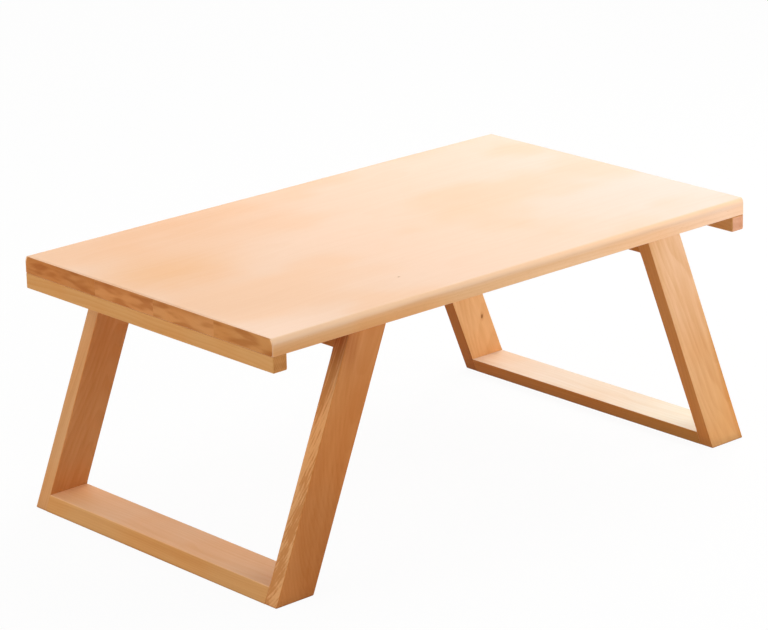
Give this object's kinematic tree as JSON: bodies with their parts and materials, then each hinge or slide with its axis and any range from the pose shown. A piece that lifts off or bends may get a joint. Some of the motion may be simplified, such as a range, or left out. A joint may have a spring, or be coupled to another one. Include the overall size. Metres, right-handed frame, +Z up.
{
  "type": "low tea table",
  "caption": "Low rectangular table in solid wood: an edge-glued top with rounded long edges and end battens, on two closed leg frames that splay outwards.",
  "frame": {"origin": "on the floor, under the middle of the tabletop", "axes": "+X along the tabletop's length, +Y from the front long edge to the back one, +Z up"},
  "size_m": [0.711, 0.412, 0.29],
  "materials": {
    "top_wood": "satin oiled, pale peach brown",
    "batten_wood": "satin oiled, yellow brown",
    "leg_wood": "satin oiled, warm tan with fine dark pores",
    "rail_wood": "satin oiled, light tan",
    "dowel_wood": "plain beech",
    "bolt_steel": "zinc plated",
    "insert_brass": "plain"
  },
  "bodies": {
    "root": {"front_stave": "top_wood", "front_middle_stave": "top_wood", "back_middle_stave": "top_wood", "back_stave": "top_wood", "left_batten": "batten_wood", "right_batten": "batten_wood", "left_front_leg": "leg_wood", "left_back_leg": "leg_wood", "left_bottom_rail": "rail_wood", "left_top_rail": "rail_wood", "left_front_bottom_dowel_1": "dowel_wood", "left_front_bottom_dowel_2": "dowel_wood", "left_back_bottom_dowel_1": "dowel_wood", "left_back_bottom_dowel_2": "dowel_wood", "left_front_top_dowel_1": "dowel_wood", "left_front_top_dowel_2": "dowel_wood", "left_back_top_dowel_1": "dowel_wood", "left_back_top_dowel_2": "dowel_wood", "left_bolt_1": "bolt_steel", "left_washer_1": "bolt_steel", "left_insert_1": "insert_brass", "left_bolt_2": "bolt_steel", "left_washer_2": "bolt_steel", "left_insert_2": "insert_brass", "left_bolt_3": "bolt_steel", "left_washer_3": "bolt_steel", "left_insert_3": "insert_brass", "left_batten_screw_1": "bolt_steel", "left_batten_screw_2": "bolt_steel", "left_batten_screw_3": "bolt_steel", "left_batten_screw_4": "bolt_steel", "right_front_leg": "leg_wood", "right_back_leg": "leg_wood", "right_bottom_rail": "rail_wood", "right_top_rail": "rail_wood", "right_front_bottom_dowel_1": "dowel_wood", "right_front_bottom_dowel_2": "dowel_wood", "right_back_bottom_dowel_1": "dowel_wood", "right_back_bottom_dowel_2": "dowel_wood", "right_front_top_dowel_1": "dowel_wood", "right_front_top_dowel_2": "dowel_wood", "right_back_top_dowel_1": "dowel_wood", "right_back_top_dowel_2": "dowel_wood", "right_bolt_1": "bolt_steel", "right_washer_1": "bolt_steel", "right_insert_1": "insert_brass", "right_bolt_2": "bolt_steel", "right_washer_2": "bolt_steel", "right_insert_2": "insert_brass", "right_bolt_3": "bolt_steel", "right_washer_3": "bolt_steel", "right_insert_3": "insert_brass", "right_batten_screw_1": "bolt_steel", "right_batten_screw_2": "bolt_steel", "right_batten_screw_3": "bolt_steel", "right_batten_screw_4": "bolt_steel"}
  },
  "joints": []
}
